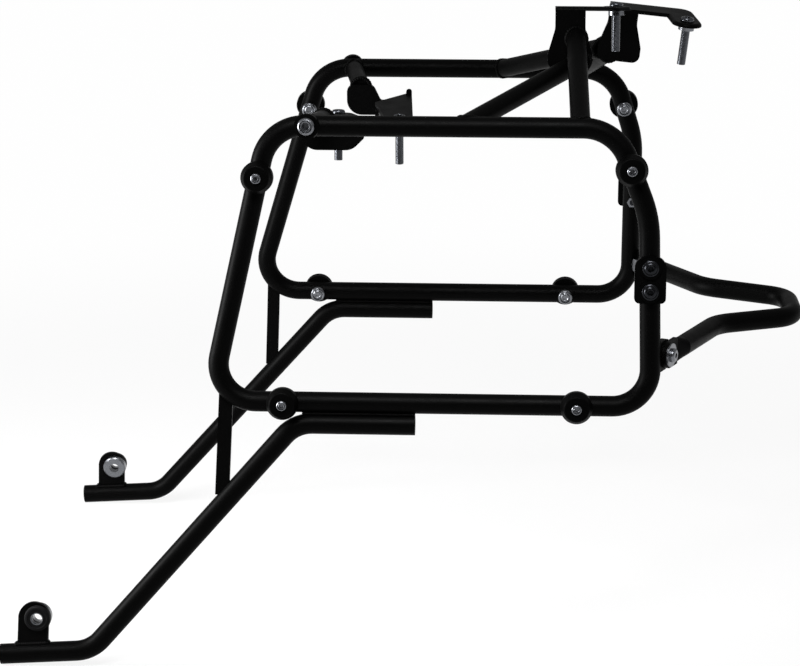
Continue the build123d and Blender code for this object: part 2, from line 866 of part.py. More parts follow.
# Rear brace: bent tube whose ends are flattened into bolted paddles
corner_x = brace_rear_x - mid_x
leg_starts = {}
for key, leg in (("left", left_leg), ("right", right_leg)):
    middle = leg.offset(paddle_thick / 2)
    leg_starts[key] = (
        middle.from_local_coords((paddle_run + paddle_blend, 0, 0)),
        middle.from_local_coords((leg_run, 0, 0)),
    )
corner_z = leg_starts["left"][1].Z
with BuildPart() as rear_brace:
    with BuildLine() as brace_line:
        FilletPolyline(
            leg_starts["left"][0],
            leg_starts["left"][1],
            (corner_x, -brace_rear_half, corner_z),
            (corner_x, brace_rear_half, corner_z),
            leg_starts["right"][1],
            leg_starts["right"][0],
            radius=(leg_bend, brace_bend, brace_bend, leg_bend),
        )
    with BuildSketch(Plane(origin=brace_line.line @ 0, z_dir=brace_line.line % 0)):
        Circle(tube_r)
        Circle(tube_r - tube_wall, mode=Mode.SUBTRACT)
    sweep(path=brace_line.line)
    for leg in (left_leg, right_leg):
        middle = leg.offset(paddle_thick / 2)
        tube_end = Plane(
            origin=middle.from_local_coords((paddle_run + paddle_blend, 0, 0)),
            x_dir=leg.y_dir,
            z_dir=leg.x_dir * -1,
        )
        with BuildSketch(tube_end):
            Circle(tube_r)
        with BuildSketch(tube_end.offset(paddle_blend)):
            Ellipse(paddle_tall / 2, paddle_thick / 2)
        loft()
        with BuildSketch(leg):
            with Locations((paddle_run / 2, 0)):
                Rectangle(paddle_run, paddle_tall)
            Circle(paddle_tall / 2)
        extrude(amount=paddle_thick)
        with BuildSketch(leg):
            Circle((large_d + screw_clearance) / 2)
        extrude(amount=paddle_thick, mode=Mode.SUBTRACT)
save(rear_brace, "rear_brace")
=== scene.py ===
import json
from collections import namedtuple
from math import cos, pi, radians, sin

import bpy
from mathutils import Matrix, Vector


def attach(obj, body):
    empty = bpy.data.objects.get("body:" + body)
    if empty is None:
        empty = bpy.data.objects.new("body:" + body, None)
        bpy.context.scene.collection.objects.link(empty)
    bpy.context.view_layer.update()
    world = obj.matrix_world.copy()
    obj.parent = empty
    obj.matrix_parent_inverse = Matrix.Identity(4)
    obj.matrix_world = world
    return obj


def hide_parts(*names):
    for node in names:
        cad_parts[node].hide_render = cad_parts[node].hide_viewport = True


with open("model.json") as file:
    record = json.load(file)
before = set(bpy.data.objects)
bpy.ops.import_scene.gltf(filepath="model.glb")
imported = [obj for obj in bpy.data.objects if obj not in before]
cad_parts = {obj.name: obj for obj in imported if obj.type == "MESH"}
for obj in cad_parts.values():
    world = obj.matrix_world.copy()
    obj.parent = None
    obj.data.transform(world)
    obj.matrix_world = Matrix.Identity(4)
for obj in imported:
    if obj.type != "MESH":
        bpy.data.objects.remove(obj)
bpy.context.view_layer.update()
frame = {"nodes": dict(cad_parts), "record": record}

bl_info = {
    "name": "Pannier frame",
    "version": (1, 0, 0),
    "blender": (4, 5, 0),
    "location": "View3D > Sidebar > Pannier frame",
    "description": "Dresses a pair of bent-tube pannier frames and sets up their studio",
    "category": "Object",
}

# A strut or stub: its foot on the top rail, its far end, and how much higher that end is
Bar = namedtuple("Bar", "foot end rise")

# One side frame: its side of the centre plane, its top rail, its bars, its pucks and its latch
Side = namedtuple("Side", "name sign top_rail upright diagonal stub pucks latch")

# A hanging bolt: its plain shank, the way back from its recorded place to its head, its length
HangingBolt = namedtuple("HangingBolt", "kind plain back length")

# A hexagon socket, as shares of its head's radius and rise
Socket = namedtuple("Socket", "radius top depth")

# A softbox: where it stands, what it is aimed at, its size, its spread in degrees and its watts
Lamp = namedtuple("Lamp", "name place aim width height spread power")

# Places along to the rear and up the lean, in metres from the hoop's lower front corner
SIDES = (
    Side(name="left", sign=-1, top_rail=0.267,
         upright=Bar(0.354, 0.351, 0.078),
         diagonal=Bar(0.2415, 0.353, 0.054),
         stub=Bar(0.096, 0.104, 0.0),
         pucks=((0.04753, 0.218), (0.40259, 0.2283), (0.0715, 0.0), (0.354, 0.0)),
         latch=0.42196),
    Side(name="right", sign=1, top_rail=0.2605,
         upright=Bar(0.360, 0.387, 0.057),
         diagonal=Bar(0.274, 0.382, 0.0615),
         stub=Bar(0.113, 0.126, 0.0),
         pucks=((0.06427, 0.2156), (0.4091, 0.2193), (0.070, 0.0), (0.3486, 0.0)),
         latch=0.4205),
)
LATCH_SCREWS_UP = (0.1132, 0.1358)
FOOT_BEND = (-0.119, -0.252)
FOOT_TIP = (-0.209, -0.2575)
TAB_MIDDLE = -0.1775
TAB_LOW, TAB_HIGH = -0.2560, -0.2200
TAB_ROUND_AT = (-0.1748, TAB_HIGH)
FOOT_BORE_AT = (-0.1715, -0.2195)
ARM_REAR_END = (0.199, -0.0212)
ARM_SEAM = (0.091, 0.198)
ARM_SEAM_UP = -0.0106
ARM_SEAM_OUT = 0.0042

HANGING_BOLTS = (
    HangingBolt(kind="rear", plain=0.009, back=0.0275, length=0.045),
    HangingBolt(kind="front", plain=0.004, back=0.0265, length=0.048),
)

# Heads from their seat up and in to the socket, as shares of their radius and rise
RINGED_TOP = ((1.0, 0.36), (0.96, 0.62), (0.88, 0.82), (0.77, 0.93), (0.70, 0.90), (0.66, 0.74),
              (0.62, 0.90), (0.56, 1.0), (0.50, 0.98), (0.44, 0.86), (0.1, 0.86))
BOLT_HEAD = ((0.96, 0.0), (1.0, 0.08)) + RINGED_TOP
SCREW_HEAD = ((0.97, 0.0), (1.0, 0.06)) + RINGED_TOP
FLANGED_HEAD = ((0.97, 0.0), (1.0, 0.08), (1.0, 0.22), (0.95, 0.34), (0.84, 0.44), (0.78, 0.40),
                (0.74, 0.52), (0.64, 0.78), (0.52, 0.92), (0.43, 0.97), (0.36, 0.90), (0.1, 0.90))
CAP_HEAD = ((0.1, 0.0), (0.97, 0.0), (1.0, 0.06), (1.0, 0.60), (0.96, 0.80), (0.88, 0.93),
            (0.78, 0.98), (0.70, 0.92), (0.66, 0.76), (0.60, 0.88), (0.50, 0.97), (0.40, 0.95),
            (0.33, 0.84), (0.1, 0.84))
RINGED_SOCKET = Socket(radius=0.40, top=0.86, depth=0.66)
FLANGED_SOCKET = Socket(radius=0.32, top=0.90, depth=0.66)
CAP_SOCKET = Socket(radius=0.29, top=0.84, depth=0.55)

# Points closer than this are one point
SAME_POINT = 1e-6

# Finished materials, by the record's slots and by two darker zincs, one of them with painted shade for
# the hanging bolts, filled by the finishes operator
FINISHES = {}


class StudioSizes(bpy.types.PropertyGroup):
    """Camera of the studio"""
    camera_place: bpy.props.FloatVectorProperty(
        name="Camera place", description="Where the camera stands", size=3,
        default=(0.11360, -2.5891, 0.97527), subtype="XYZ", unit="LENGTH")
    camera_turn: bpy.props.FloatVectorProperty(
        name="Camera turn", description="How the camera is turned", size=3,
        default=(radians(74.922), 0.0, radians(2.863)), subtype="EULER", unit="ROTATION")
    camera_lens: bpy.props.FloatProperty(
        name="Lens", description="Focal length of the camera in millimetres", default=115.43)
    sensor_width: bpy.props.FloatProperty(
        name="Sensor width", description="Width of the camera's sensor in millimetres",
        default=36.0)


class FrameSizes(bpy.types.PropertyGroup):
    """Tubes, rails and plates of the side frames"""
    lean: bpy.props.FloatProperty(
        name="Lean", description="How far each side frame leans to the centre plane",
        default=radians(6.0), subtype="ANGLE", unit="ROTATION")
    half_gap: bpy.props.FloatProperty(
        name="Half gap", description="From the centre plane to a bottom rail", default=0.220,
        subtype="DISTANCE", unit="LENGTH")
    corner_back: bpy.props.FloatProperty(
        name="Corner back", description="From the hoop's lower front corner back to mid length",
        default=0.189195, subtype="DISTANCE", unit="LENGTH", precision=6)
    rail_height: bpy.props.FloatProperty(
        name="Rail height", description="Height of the bottom rails' centre", default=0.266071,
        subtype="DISTANCE", unit="LENGTH", precision=6)
    tube_radius: bpy.props.FloatProperty(
        name="Tube radius", description="Outside radius of the hoop's tube", default=0.010,
        subtype="DISTANCE", unit="LENGTH")
    tube_wall: bpy.props.FloatProperty(
        name="Tube wall", description="Thickness of the tubes' wall", default=0.002,
        subtype="DISTANCE", unit="LENGTH")
    strut_radius: bpy.props.FloatProperty(
        name="Strut radius", description="Outside radius of the struts", default=0.0096,
        subtype="DISTANCE", unit="LENGTH")
    stub_radius: bpy.props.FloatProperty(
        name="Stub radius", description="Outside radius of the front stubs", default=0.0095,
        subtype="DISTANCE", unit="LENGTH")
    rear_plate_in: bpy.props.FloatProperty(
        name="Rear plate in", description="From the hoop inboard to the rear bracket's plate",
        default=0.138, subtype="DISTANCE", unit="LENGTH")
    front_plate_in: bpy.props.FloatProperty(
        name="Front plate in", description="From the hoop inboard to the front bracket's plate",
        default=0.077, subtype="DISTANCE", unit="LENGTH")


class FootSizes(bpy.types.PropertyGroup):
    """Tabs, bushes and sleeves of the feet"""
    tab_width: bpy.props.FloatProperty(
        name="Tab width", description="Width of a foot tab where it is welded", default=0.0302,
        subtype="DISTANCE", unit="LENGTH", precision=5)
    tab_thick: bpy.props.FloatProperty(
        name="Tab thickness", description="Thickness of a foot tab's plate", default=0.0045,
        subtype="DISTANCE", unit="LENGTH", precision=5)
    tab_round: bpy.props.FloatProperty(
        name="Tab round", description="Radius of a foot tab's round top", default=0.016,
        subtype="DISTANCE", unit="LENGTH")
    bore_radius: bpy.props.FloatProperty(
        name="Bore radius", description="Radius of the bore through a foot", default=0.00525,
        subtype="DISTANCE", unit="LENGTH", precision=5)
    sleeve_radius: bpy.props.FloatProperty(
        name="Sleeve radius", description="Outside radius of a bush's steel sleeve",
        default=0.0062, subtype="DISTANCE", unit="LENGTH", precision=5)
    bush_radius: bpy.props.FloatProperty(
        name="Bush radius", description="Outside radius of a foot bush", default=0.0127,
        subtype="DISTANCE", unit="LENGTH", precision=5)
    bush_length: bpy.props.FloatProperty(
        name="Bush length", description="How far a foot bush stands out from its tab",
        default=0.005, subtype="DISTANCE", unit="LENGTH")


class BoltSizes(bpy.types.PropertyGroup):
    """Heads and threads of the hanging bolts"""
    head_radius: bpy.props.FloatProperty(
        name="Head radius", description="Outside radius of a hanging bolt's head", default=0.0068,
        subtype="DISTANCE", unit="LENGTH")
    head_rise: bpy.props.FloatProperty(
        name="Head rise", description="Height of a hanging bolt's head", default=0.004,
        subtype="DISTANCE", unit="LENGTH")
    shank: bpy.props.FloatProperty(
        name="Shank", description="Radius of the plain shank under the head", default=0.004,
        subtype="DISTANCE", unit="LENGTH", precision=5)
    crest: bpy.props.FloatProperty(
        name="Crest", description="Radius at the thread's crest", default=0.0043,
        subtype="DISTANCE", unit="LENGTH", precision=5)
    root: bpy.props.FloatProperty(
        name="Root", description="Radius at the thread's root", default=0.0041,
        subtype="DISTANCE", unit="LENGTH", precision=5)
    pitch: bpy.props.FloatProperty(
        name="Pitch", description="Advance of the thread in one turn", default=0.00125,
        subtype="DISTANCE", unit="LENGTH", precision=5)


class ScrewSizes(bpy.types.PropertyGroup):
    """Screws and caps of the pucks, latches and stubs"""
    small_size: bpy.props.FloatProperty(
        name="Small size", description="Nominal size of the puck and latch screws", default=0.006,
        subtype="DISTANCE", unit="LENGTH")
    large_size: bpy.props.FloatProperty(
        name="Large size", description="Nominal size of the stub bolts", default=0.010,
        subtype="DISTANCE", unit="LENGTH")
    latch_flange: bpy.props.FloatProperty(
        name="Latch flange", description="Radius of the flange of a latch screw", default=0.0078,
        subtype="DISTANCE", unit="LENGTH", precision=5)
    cap_radius: bpy.props.FloatProperty(
        name="Cap radius", description="Radius of a puck screw's cap nut", default=0.008,
        subtype="DISTANCE", unit="LENGTH")
    cap_rise: bpy.props.FloatProperty(
        name="Cap rise", description="Height of a puck screw's cap nut", default=0.0045,
        subtype="DISTANCE", unit="LENGTH", precision=5)


class WeldSizes(bpy.types.PropertyGroup):
    """Beads of the welds"""
    rail_bead: bpy.props.FloatProperty(
        name="Rail bead", description="Half width of the beads on the top rails", default=0.0021,
        subtype="DISTANCE", unit="LENGTH", precision=5)
    plate_bead: bpy.props.FloatProperty(
        name="Plate bead", description="Half width of the beads on plates", default=0.0031,
        subtype="DISTANCE", unit="LENGTH", precision=5)
    arm_bead: bpy.props.FloatProperty(
        name="Arm bead", description="Half width of the beads between a rail and its arm",
        default=0.0017, subtype="DISTANCE", unit="LENGTH", precision=5)


class FinishColours(bpy.types.PropertyGroup):
    """Colours of the finishes and of the studio"""
    coat: bpy.props.StringProperty(
        name="Coat", description="sRGB hex colour of the powder coat", default="#030303")
    dust: bpy.props.StringProperty(
        name="Dust", description="sRGB hex colour of the dust on the coat", default="#262524")
    zinc: bpy.props.StringProperty(
        name="Zinc", description="sRGB hex colour of the zinc plate", default="#7c7e82")
    zinc_cloud: bpy.props.StringProperty(
        name="Zinc clouds", description="sRGB hex colour of the zinc's clouds", default="#6a6c70")
    # Painted shade: the hanging bolts' zinc is made darker than the bright zinc, to stand in for the
    # shade on their shanks
    shaded_plate: bpy.props.StringProperty(
        name="Shaded zinc", description="sRGB hex colour of the darker zinc that paints the shade on the hanging bolts",
        default="#56585c")
    shaded_cloud: bpy.props.StringProperty(
        name="Shaded clouds", description="sRGB hex colour of the shaded zinc's clouds",
        default="#46484c")
    # A darker copy of the zinc plate's colours, for the latch screws
    dulled: bpy.props.StringProperty(
        name="Dark zinc", description="sRGB hex colour of the darker zinc on the latch screws",
        default="#2c2d30")
    dark_cloud: bpy.props.StringProperty(
        name="Dark clouds", description="sRGB hex colour of the dark zinc's clouds",
        default="#1a1b1d")
    nylon: bpy.props.StringProperty(
        name="Nylon", description="sRGB hex colour of the pucks", default="#030303")
    rubber: bpy.props.StringProperty(
        name="Rubber", description="sRGB hex colour of the bushes", default="#070708")
    bloom: bpy.props.StringProperty(
        name="Bloom", description="sRGB hex colour of the rubber's bloom", default="#121213")
    floor: bpy.props.StringProperty(
        name="Floor", description="sRGB hex colour of the studio floor", default="#f4f4f4")
    flag: bpy.props.StringProperty(
        name="Flag", description="sRGB hex colour of the cloth behind the camera",
        default="#0a0a0a")


def linear(hex_colour):
    """Linear RGBA from an sRGB hex colour."""
    parts = [int(hex_colour[i:i + 2], 16) / 255 for i in (1, 3, 5)]
    return tuple(c / 12.92 if c <= 0.04045 else ((c + 0.055) / 1.055) ** 2.4
                 for c in parts) + (1.0,)


def per_metre(millimetres):
    """Scale of a pattern in metres from the size of its grain in millimetres."""
    return 1000.0 / millimetres


def add_node(tree, kind, values=None, links=None, **settings):
    """Add a shader node with its settings, socket values and incoming links."""
    made = tree.nodes.new(kind)
    for name, value in settings.items():
        setattr(made, name, value)
    live = {socket.name: socket for socket in made.inputs if socket.enabled}
    for name, value in (values or {}).items():
        socket = made.inputs[name] if isinstance(name, int) else live[name]
        socket.default_value = value
    for name, source in (links or {}).items():
        socket = made.inputs[name] if isinstance(name, int) else live[name]
        tree.links.new(source, socket)
    return made


def result(made):
    """The output that a node has live, such as a mix of colours."""
    return next(socket for socket in made.outputs if socket.enabled)


def new_material(name):
    """Empty node material, its tree and its output node."""
    made = bpy.data.materials.new(name)
    made.use_nodes = True
    made.node_tree.nodes.clear()
    return made, made.node_tree, made.node_tree.nodes.new("ShaderNodeOutputMaterial")


def powder_coat(colour, dust_colour):
    """Satin black powder coat on steel, sprayed and baked.

    It gives the eye a deep black with soft streaks of light, a fine peel and a few specks of dust.
    """
    made, tree, out = new_material("satin black powder coat")
    place = add_node(tree, "ShaderNodeTexCoord")
    # The peel of about 0.5 mm is drawn at 1.6 mm so that it shows
    peel = add_node(tree, "ShaderNodeTexNoise", {"Scale": per_metre(1.6), "Detail": 3.0},
                    {"Vector": place.outputs["Object"]})
    flow = add_node(tree, "ShaderNodeTexNoise", {"Scale": per_metre(22.0), "Detail": 4.0},
                    {"Vector": place.outputs["Object"]})
    rough = add_node(tree, "ShaderNodeMapRange",
                     {"From Min": 0.3, "From Max": 0.7, "To Min": 0.40, "To Max": 0.50},
                     {"Value": flow.outputs["Fac"]})
    # Dust settles in specks of a few tenths, drawn at 1.2 mm so that they show
    specks = add_node(tree, "ShaderNodeTexNoise",
                      {"Scale": per_metre(1.2), "Detail": 5.0, "Roughness": 0.7},
                      {"Vector": place.outputs["Object"]})
    dust = add_node(tree, "ShaderNodeMapRange", {"From Min": 0.6, "From Max": 0.78, "To Max": 0.5},
                    {"Value": specks.outputs["Fac"]})
    shade = add_node(tree, "ShaderNodeMix", {"A": linear(colour), "B": linear(dust_colour)},
                     {"Factor": dust.outputs["Result"]}, data_type="RGBA")
    bump = add_node(tree, "ShaderNodeBump", {"Strength": 0.16, "Distance": 0.0002},
                    {"Height": peel.outputs["Fac"]})
    coat = add_node(tree, "ShaderNodeBsdfPrincipled", {"Specular IOR Level": 0.03},
                    {"Base Color": result(shade), "Roughness": rough.outputs["Result"],
                     "Normal": bump.outputs["Normal"]})
    tree.links.new(coat.outputs["BSDF"], out.inputs["Surface"])
    return made


def zinc_plate(name, colour, cloudy):
    """Zinc plate on steel, dipped and passivated.

    It gives the eye a grey metal, cloudy, with fine scuffs.
    """
    made, tree, out = new_material(name)
    place = add_node(tree, "ShaderNodeTexCoord")
    cloud = add_node(tree, "ShaderNodeTexNoise", {"Scale": per_metre(3.0), "Detail": 4.0},
                     {"Vector": place.outputs["Object"]})
    rough = add_node(tree, "ShaderNodeMapRange",
                     {"From Min": 0.3, "From Max": 0.7, "To Min": 0.2, "To Max": 0.36},
                     {"Value": cloud.outputs["Fac"]})
    shade = add_node(tree, "ShaderNodeMix", {"A": linear(cloudy), "B": linear(colour)},
                     {"Factor": cloud.outputs["Fac"]}, data_type="RGBA")
    # Scuffs of a tenth, drawn at 0.5 mm so that they show
    scuff = add_node(tree, "ShaderNodeTexNoise", {"Scale": per_metre(0.5), "Detail": 2.0},
                     {"Vector": place.outputs["Object"]})
    bump = add_node(tree, "ShaderNodeBump", {"Strength": 0.05, "Distance": 0.0001},
                    {"Height": scuff.outputs["Fac"]})
    zinc = add_node(tree, "ShaderNodeBsdfPrincipled", {"Metallic": 1.0},
                    {"Base Color": result(shade), "Roughness": rough.outputs["Result"],
                     "Normal": bump.outputs["Normal"]})
    tree.links.new(zinc.outputs["BSDF"], out.inputs["Surface"])
    return made


def turned_nylon(colour):
    """Black nylon, turned on a lathe.

    It gives the eye a dull, dense black with a fine grain left by the tool.
    """
    made, tree, out = new_material("turned black nylon")
    place = add_node(tree, "ShaderNodeTexCoord")
    # Tool marks of a few tenths, drawn as a grain of 1 mm so that they show
    grain = add_node(tree, "ShaderNodeTexNoise", {"Scale": per_metre(1.0), "Detail": 2.0},
                     {"Vector": place.outputs["Object"]})
    rough = add_node(tree, "ShaderNodeMapRange",
                     {"From Min": 0.3, "From Max": 0.7, "To Min": 0.4, "To Max": 0.55},
                     {"Value": grain.outputs["Fac"]})
    bump = add_node(tree, "ShaderNodeBump", {"Strength": 0.12, "Distance": 0.0002},
                    {"Height": grain.outputs["Fac"]})
    nylon = add_node(tree, "ShaderNodeBsdfPrincipled",
                     {"Base Color": linear(colour), "Specular IOR Level": 0.025},
                     {"Roughness": rough.outputs["Result"], "Normal": bump.outputs["Normal"]})
    tree.links.new(nylon.outputs["BSDF"], out.inputs["Surface"])
    return made


def moulded_rubber(colour, bloom):
    """Black rubber, moulded.

    It gives the eye a matt grey-black with a fine grain and a pale bloom.
    """
    made, tree, out = new_material("moulded black rubber")
    place = add_node(tree, "ShaderNodeTexCoord")
    # The mould's grain of a few tenths is drawn at 1.4 mm so that it shows
    grain = add_node(tree, "ShaderNodeTexNoise", {"Scale": per_metre(1.4), "Detail": 3.0},
                     {"Vector": place.outputs["Object"]})
    shade = add_node(tree, "ShaderNodeMix", {"A": linear(colour), "B": linear(bloom)},
                     {"Factor": grain.outputs["Fac"]}, data_type="RGBA")
    bump = add_node(tree, "ShaderNodeBump", {"Strength": 0.2, "Distance": 0.0002},
                    {"Height": grain.outputs["Fac"]})
    rubber = add_node(tree, "ShaderNodeBsdfPrincipled",
                      {"Roughness": 0.66, "Specular IOR Level": 0.08},
                      {"Base Color": result(shade), "Normal": bump.outputs["Normal"]})
    tree.links.new(rubber.outputs["BSDF"], out.inputs["Surface"])
    return made


def deselect():
    """Leave every object unselected, in object mode."""
    if bpy.context.object and bpy.context.object.mode != "OBJECT":
        bpy.ops.object.mode_set(mode="OBJECT")
    bpy.ops.object.select_all(action="DESELECT")


def only(piece):
    """Select one object alone and make it the active one."""
    deselect()
    piece.select_set(True)
    bpy.context.view_layer.objects.active = piece


def open_mesh(piece):
    """Open one piece alone in edit mode, with all of its mesh selected."""
    only(piece)
    bpy.ops.object.mode_set(mode="EDIT")
    bpy.ops.mesh.select_all(action="SELECT")


def face_outwards():
    """Point all faces of the open mesh outwards and leave edit mode."""
    bpy.ops.mesh.select_all(action="SELECT")
    bpy.ops.mesh.normals_make_consistent(inside=False)
    bpy.ops.object.mode_set(mode="OBJECT")


def close_rims(piece):
    """Close the open rims of a piece and point its faces outwards."""
    open_mesh(piece)
    bpy.ops.mesh.region_to_loop()
    bpy.ops.mesh.edge_face_add()
    face_outwards()


def turn(name, profile, sides=48):
    """Turned piece about Z: a circle extruded and resized through the profile's radii and heights."""
    deselect()
    radius, height = profile[0]
    bpy.ops.mesh.primitive_circle_add(vertices=sides, radius=radius, location=(0.0, 0.0, height))
    piece = bpy.context.object
    piece.name = name
    bpy.ops.object.transform_apply(location=True, rotation=True, scale=True)
    open_mesh(piece)
    for new_radius, new_height in profile[1:]:
        bpy.ops.mesh.extrude_region_move(
            TRANSFORM_OT_translate={"value": (0.0, 0.0, new_height - height)})
        share = new_radius / radius
        bpy.ops.transform.resize(value=(share, share, 1.0), center_override=(0.0, 0.0, new_height))
        radius, height = new_radius, new_height
    bpy.ops.mesh.select_all(action="SELECT")
    bpy.ops.mesh.remove_doubles(threshold=SAME_POINT)
    face_outwards()
    return piece


def change(piece, tool, operation):
    """Join a tool to a piece or cut it away, and throw the tool away."""
    only(piece)
    step = piece.modifiers.new("change", "BOOLEAN")
    step.operation = operation
    step.object = tool
    bpy.ops.object.modifier_apply(modifier=step.name)
    bpy.data.objects.remove(tool)


def headed(name, start, head, radius, rise, socket):
    """Turned piece along Z: its start, then its head, and a hexagon socket sunk in the head."""
    made = turn(name, start + tuple((radius * out, rise * up) for out, up in head))
    close_rims(made)
    deselect()
    bpy.ops.mesh.primitive_cylinder_add(
        vertices=6, radius=radius * socket.radius, depth=2 * rise * socket.depth,
        location=(0.0, 0.0, rise * socket.top))
    change(made, bpy.context.object, "DIFFERENCE")
    return made


def stand(piece, place, axis):
    """Stand a piece that was made along Z at a place, along an axis."""
    turned = axis.to_track_quat("Z", "Y").to_matrix().to_4x4()
    piece.matrix_world = Matrix.Translation(place) @ turned


def own_copy(piece, name):
    """Copy of a piece with a mesh of its own."""
    made = piece.copy()
    made.data = piece.data.copy()
    made.name = name
    bpy.context.collection.objects.link(made)
    return made


def standing_copy(piece, name, place, axis):
    """Copy of a piece that stands at a place, along an axis."""
    made = own_copy(piece, name)
    stand(made, place, axis)
    return made


def joined(pieces):
    """Join pieces into the first of them."""
    deselect()
    for piece in pieces:
        piece.select_set(True)
    bpy.context.view_layer.objects.active = pieces[0]
    if len(pieces) > 1:
        bpy.ops.object.join()
    return pieces[0]


def settle(piece, node_slot, smooth=35.0, finish=None):
    """Put a piece's place in its mesh, give it a finish and ride it on the frame.

    Edges up to the angle smooth are shaded round. The finish is the slot's own unless one is named.
    """
    only(piece)
    bpy.ops.object.transform_apply(location=True, rotation=True, scale=True)
    bpy.ops.object.shade_smooth_by_angle(angle=radians(smooth))
    slots = piece.data.materials
    slots.clear()
    slots.append(FINISHES[finish or node_slot])
    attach(piece, "root")


def side_point(side, along, up, inboard):
    """Point of a side frame: along to the rear, up the lean and inboard from the hoop's corner."""
    sizes = bpy.context.scene.pannier_frame
    low, rise = sin(sizes.lean), cos(sizes.lean)
    return Vector((along - sizes.corner_back,
                   side.sign * (sizes.half_gap - up * low - inboard * rise),
                   sizes.rail_height + up * rise - inboard * low))


def side_way(side, along, up, inboard):
    """Direction of a side frame from its own three parts."""
    return side_point(side, along, up, inboard) - side_point(side, 0.0, 0.0, 0.0)


def bar_ends(side, bar, inboard):
    """Ends of a bar: on the centre of the top rail, and on a plate that far inboard."""
    return (side_point(side, bar.foot, side.top_rail, 0.0),
            side_point(side, bar.end, side.top_rail + bar.rise, inboard))


def foot_up(along):
    """How far up the lean the centre of a foot's level run is."""
    share = (along - FOOT_BEND[0]) / (FOOT_TIP[0] - FOOT_BEND[0])
    return FOOT_BEND[1] + share * (FOOT_TIP[1] - FOOT_BEND[1])


def foot_way(side):
    """Direction of a foot's level run, from its tip to its bend."""
    return side_way(side, FOOT_BEND[0] - FOOT_TIP[0], FOOT_BEND[1] - FOOT_TIP[1], 0.0)


def mount(name):
    """Place and axis of one of the record's mounts."""
    found = next(m for m in frame["record"]["mounts"] if m["name"] == name)
    return Vector(found["pos_m"]), Vector(found["axis"])


class PANNIER_OT_finishes(bpy.types.Operator):
    """Give every CAD node the finish of its slot"""
    bl_idname = "pannier.finishes"
    bl_label = "Finishes"

    def execute(self, context):
        colours = context.scene.pannier_colours
        FINISHES.update({
            "black_coat": powder_coat(colours.coat, colours.dust),
            "zinc_steel": zinc_plate("bright zinc plate", colours.zinc, colours.zinc_cloud),
            # Darker copy of the zinc plate, painted shade for the hanging bolts
            "grey_zinc": zinc_plate("grey zinc plate", colours.shaded_plate, colours.shaded_cloud),
            # Darker copy of the zinc plate, for the latch screws
            "dulled_zinc": zinc_plate("dulled zinc plate", colours.dulled, colours.dark_cloud),
            "black_plastic": turned_nylon(colours.nylon),
            "black_rubber": moulded_rubber(colours.rubber, colours.bloom),
        })
        for part in frame["record"]["subparts"]:
            slots = frame["nodes"][part["node"]].data.materials
            slots.clear()
            slots.append(FINISHES[part["material_slot"]])
        return {"FINISHED"}


class PANNIER_OT_hanging_bolts(bpy.types.Operator):
    """Threaded bolts with domed socket heads, in place of the plain ones"""
    bl_idname = "pannier.hanging_bolts"
    bl_label = "Hanging bolts"

    def cut(self, height, direction):
        """Cut the open mesh level at a height and throw away what lies beyond it."""
        bpy.ops.mesh.select_all(action="SELECT")
        bpy.ops.mesh.bisect(plane_co=(0.0, 0.0, height), plane_no=(0.0, 0.0, direction),
                            clear_outer=True, use_fill=True)

    def thread(self, sizes, start, end):
        """Thread between two heights: a tooth drawn by extruding, wound by the Screw modifier."""
        # Not quite a whole turn below the end, so that no point lies in the plane of the cut
        below = 0.98 * sizes.pitch
        # The tooth is drawn from one point, a small circle merged to its centre
        deselect()
        bpy.ops.mesh.primitive_circle_add(vertices=3, radius=sizes.pitch / 10,
                                          location=(sizes.root, 0.0, end - below))
        piece = bpy.context.object
        bpy.ops.object.transform_apply(location=True, rotation=True, scale=True)
        open_mesh(piece)
        bpy.ops.mesh.merge(type="CENTER")
        depth, step = sizes.crest - sizes.root, sizes.pitch / 8
        for out, rise in ((0.0, step), (depth, 3 * step), (0.0, step), (-depth, 3 * step)):
            bpy.ops.mesh.extrude_region_move(TRANSFORM_OT_translate={"value": (out, 0.0, rise)})
        bpy.ops.object.mode_set(mode="OBJECT")
        wind = piece.modifiers.new("wind", "SCREW")
        wind.steps = wind.render_steps = 32
        wind.screw_offset = sizes.pitch
        # One turn more than the length takes at each end, and one for the part of a turn
        wind.iterations = int((start - end) / sizes.pitch) + 3
        bpy.ops.object.modifier_apply(modifier=wind.name)
        open_mesh(piece)
        bpy.ops.mesh.remove_doubles(threshold=SAME_POINT)
        self.cut(start, 1.0)
        self.cut(end, -1.0)
        bpy.ops.object.mode_set(mode="OBJECT")
        close_rims(piece)
        return piece

    def bolt(self, sizes, name, plain, length):
        """One bolt along Z: head above the origin, plain shank, thread and bevelled point below it."""
        bevel = sizes.crest - sizes.root
        # Radius at which the turned ends begin or stop, which a face closes
        pin = 0.0003
        start = ((pin, -plain), (sizes.root, -plain), (sizes.shank, -plain + bevel),
                 (sizes.shank, 0.0))
        body = headed(name, start, BOLT_HEAD, sizes.head_radius, sizes.head_rise, RINGED_SOCKET)
        thread = self.thread(sizes, -plain, -length + bevel)
        point = turn("point", ((sizes.crest * 0.93, -length + bevel), (sizes.root * 0.95, -length),
                               (pin, -length)))
        close_rims(point)
        return joined((body, point, thread))

    def execute(self, context):
        sizes = context.scene.pannier_bolts
        for bolt in HANGING_BOLTS:
            first = self.bolt(sizes, f"left_{bolt.kind}_bolt_threaded", bolt.plain, bolt.length)
            second = own_copy(first, f"right_{bolt.kind}_bolt_threaded")
            for piece, side in ((first, "left"), (second, "right")):
                place, axis = mount(f"{side}_{bolt.kind}_bolt")
                stand(piece, place - axis * bolt.back, -axis)
                # The darker zinc paints the shade on the bolts' shanks
                settle(piece, "zinc_steel", finish="grey_zinc")
                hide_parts(f"{side}_{bolt.kind}_bolt")
        return {"FINISHED"}


